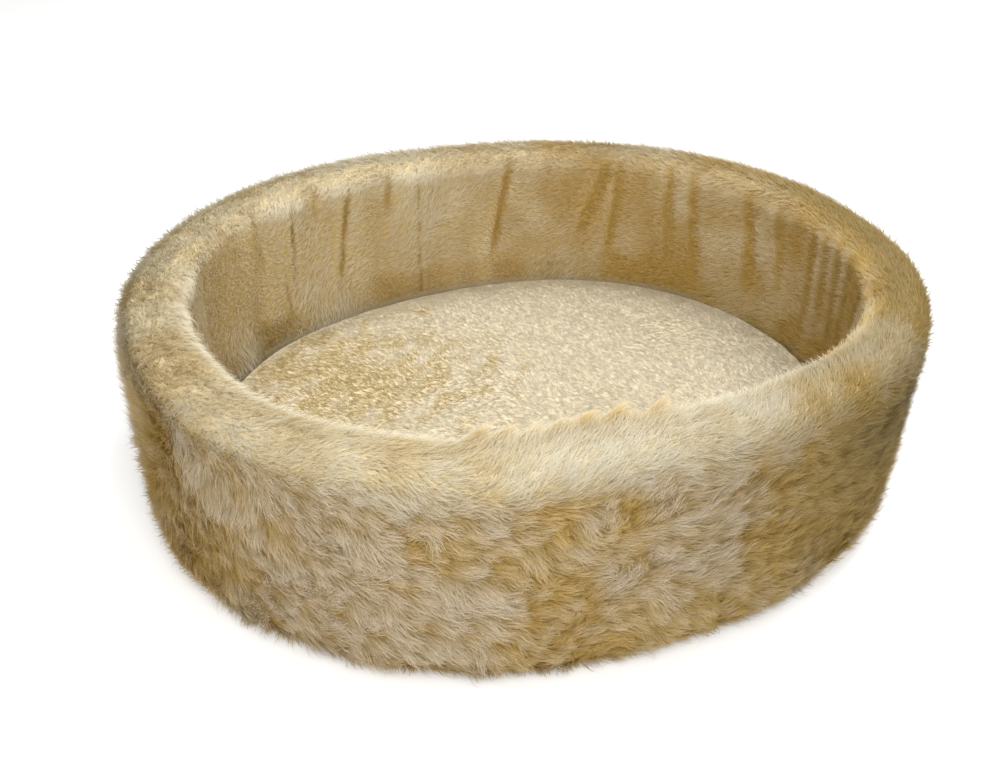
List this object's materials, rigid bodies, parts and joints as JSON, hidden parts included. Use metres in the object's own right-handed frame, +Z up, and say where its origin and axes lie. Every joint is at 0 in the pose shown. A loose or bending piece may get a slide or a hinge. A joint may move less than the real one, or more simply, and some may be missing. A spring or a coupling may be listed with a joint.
{
  "type": "pet cushion bed",
  "caption": "Oval foam-walled pet bed in plush fur, with a loose fur floor cushion that lifts out and a zipped cloth underside.",
  "frame": {"origin": "middle of the bed at the level it rests on", "axes": "+X along the bed's length, +Y towards the long side that has the upright seam, +Z up"},
  "size_m": [0.7498, 0.6419, 0.208],
  "materials": {
    "wall_fur": "cream to golden plush fur, soft sheen, pile about 15 mm",
    "cushion_fur": "pale cream plush fur, short smooth pile",
    "foam": "open-cell polyurethane foam",
    "plain_cloth": "plain-woven cotton",
    "panel_cloth": "tough plain-woven polyester",
    "thread": "twisted polyester sewing thread",
    "zip_tape": "woven polyester tape",
    "zip_coil": "nylon coil",
    "zip_metal": "plated zinc"
  },
  "bodies": {
    "root": {"wall_foam": "foam", "base_foam": "foam", "wall_cover": "wall_fur", "floor_lining": "plain_cloth", "underside_panel": "panel_cloth", "wall_seam_thread": "thread", "floor_seam_thread": "thread", "hem_thread": "thread", "zip_tape_front": "zip_tape", "zip_tape_rear": "zip_tape", "zip_coil_front": "zip_coil", "zip_coil_rear": "zip_coil", "zip_stops": "zip_metal", "zip_thread": "thread"},
    "cushion": {"cushion_top": "cushion_fur", "cushion_base": "plain_cloth", "cushion_core": "foam", "cushion_thread": "thread"},
    "slider": {"zip_slider": "zip_metal"},
    "pull": {"zip_pull": "zip_metal"}
  },
  "joints": [
    {"name": "cushion_lift", "type": "slide", "parent": "root", "child": "cushion", "axis": [0, 0, 1], "range_m": [0, 0.24]},
    {"name": "zip_slide", "type": "slide", "parent": "root", "child": "slider", "axis": [-1, 0, 0], "range_m": [0, 0.38]},
    {"name": "zip_pull_swing", "type": "hinge", "parent": "slider", "child": "pull", "pos_m": [0.19, 0, 0.0016], "axis": [0, -1, 0], "range_deg": [0, 180]}
  ]
}
